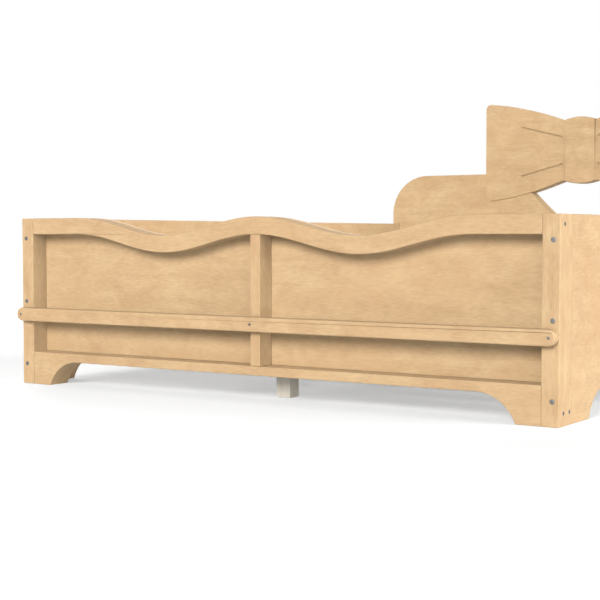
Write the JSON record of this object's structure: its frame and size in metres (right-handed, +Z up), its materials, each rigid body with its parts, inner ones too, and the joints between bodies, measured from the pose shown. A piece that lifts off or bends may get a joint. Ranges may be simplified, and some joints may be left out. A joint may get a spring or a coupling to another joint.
{
  "type": "toddler floor bed",
  "caption": "Low wooden floor bed: arched feet, slatted base, book rack with wavy rail and retaining bar in the foot end, headboard with two lobes and a large wooden bow.",
  "frame": {"origin": "on the floor, under the middle of the bed's overall box", "axes": "+X to the right as seen from the foot end, +Y from the foot end to the headboard, +Z up"},
  "size_m": [1.634, 2.2102, 0.939],
  "materials": {
    "birch": "clear satin lacquer on birch veneer",
    "base_wood": "planed, unfinished",
    "leg_wood": "thin white stain",
    "zinc": "dull zinc plating"
  },
  "bodies": {
    "root": {"foot_post_left": "birch", "foot_post_right": "birch", "foot_wave_rail": "birch", "foot_bottom_rail": "birch", "foot_panel": "birch", "foot_mullion": "birch", "book_bar": "birch", "bar_screw_left": "zinc", "bar_screw_middle": "zinc", "bar_screw_right": "zinc", "foot_bolt_left_1": "zinc", "foot_bolt_left_2": "zinc", "foot_bolt_left_3": "zinc", "foot_bolt_right_1": "zinc", "foot_bolt_right_2": "zinc", "foot_bolt_right_3": "zinc", "frame_screw_left_1": "zinc", "frame_screw_left_2": "zinc", "frame_screw_left_3": "zinc", "frame_screw_right_1": "zinc", "frame_screw_right_2": "zinc", "frame_screw_right_3": "zinc", "side_board_left": "birch", "side_board_right": "birch", "foot_nut_left_1": "zinc", "foot_nut_left_2": "zinc", "foot_nut_left_3": "zinc", "foot_nut_right_1": "zinc", "foot_nut_right_2": "zinc", "foot_nut_right_3": "zinc", "head_nut_left_1": "zinc", "head_nut_left_2": "zinc", "head_nut_right_1": "zinc", "head_nut_right_2": "zinc", "headboard": "birch", "headboard_bow": "birch", "head_bolt_left_1": "zinc", "head_bolt_left_2": "zinc", "head_bolt_right_1": "zinc", "head_bolt_right_2": "zinc", "ledger_left": "base_wood", "ledger_right": "base_wood", "slat_01": "base_wood", "slat_02": "base_wood", "slat_03": "base_wood", "slat_04": "base_wood", "slat_05": "base_wood", "slat_06": "base_wood", "slat_07": "base_wood", "slat_08": "base_wood", "slat_09": "base_wood", "slat_10": "base_wood", "slat_11": "base_wood", "slat_12": "base_wood", "centre_beam": "base_wood", "beam_cleat_foot": "base_wood", "beam_cleat_head": "base_wood", "centre_leg_foot": "leg_wood", "centre_leg_middle": "leg_wood", "centre_leg_head": "leg_wood"}
  },
  "joints": []
}
